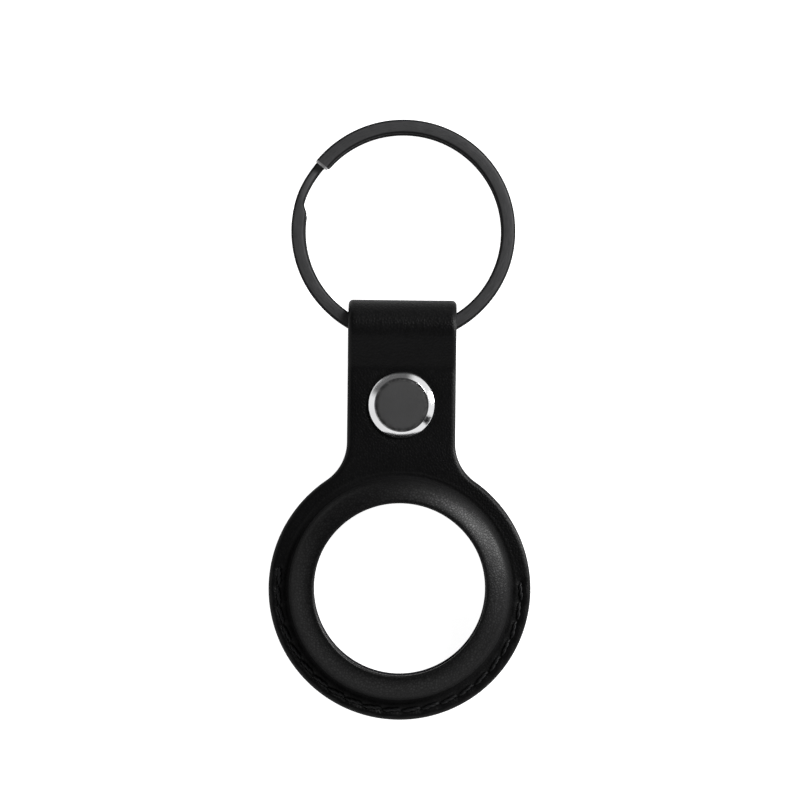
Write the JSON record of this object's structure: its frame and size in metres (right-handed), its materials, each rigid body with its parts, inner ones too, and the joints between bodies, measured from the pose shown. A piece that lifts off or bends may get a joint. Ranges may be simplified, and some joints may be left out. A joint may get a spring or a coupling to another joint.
{
  "type": "tracker tag holder",
  "caption": "Leather key holder for a round tracker tag: moulded two-panel pocket with a window on each side, strap looped round a split ring, and a press stud.",
  "frame": {"origin": "centre of the tag's pocket, on the plane where the front and back panels meet", "axes": "+Z out of the front, through both windows; +Y up the strap towards the split ring; +X across the strap. It lies on its back, on the plane Z = -5.4 mm."},
  "size_m": [0.0406, 0.0931, 0.0108],
  "materials": {
    "leather": "smooth black leather with a soft sheen",
    "lining": "matt black microfibre",
    "thread": "waxed black thread",
    "cap": "polished",
    "steel": "plated",
    "ring": "black plated, satin"
  },
  "bodies": {
    "holder": {"front_panel": "leather", "front_lining": "lining", "back_panel": "leather", "back_lining": "lining", "seam_thread": "thread", "snap_cap": "cap", "snap_socket": "steel", "snap_spring": "steel"},
    "flap": {"strap_tail": "leather", "tail_lining": "lining", "snap_stud": "steel", "snap_post": "steel"},
    "ring": {"split_ring": "ring"}
  },
  "joints": [
    {"name": "flap_open", "type": "hinge", "parent": "holder", "child": "flap", "pos_m": [0, 0.0404, -0.00532], "axis": [1, 0, 0], "range_deg": [0, 150]},
    {"name": "ring_swing", "type": "hinge", "parent": "holder", "child": "ring", "pos_m": [0, 0.0404, -0.00097], "axis": [1, 0, 0], "range_deg": [-145, 160]}
  ]
}
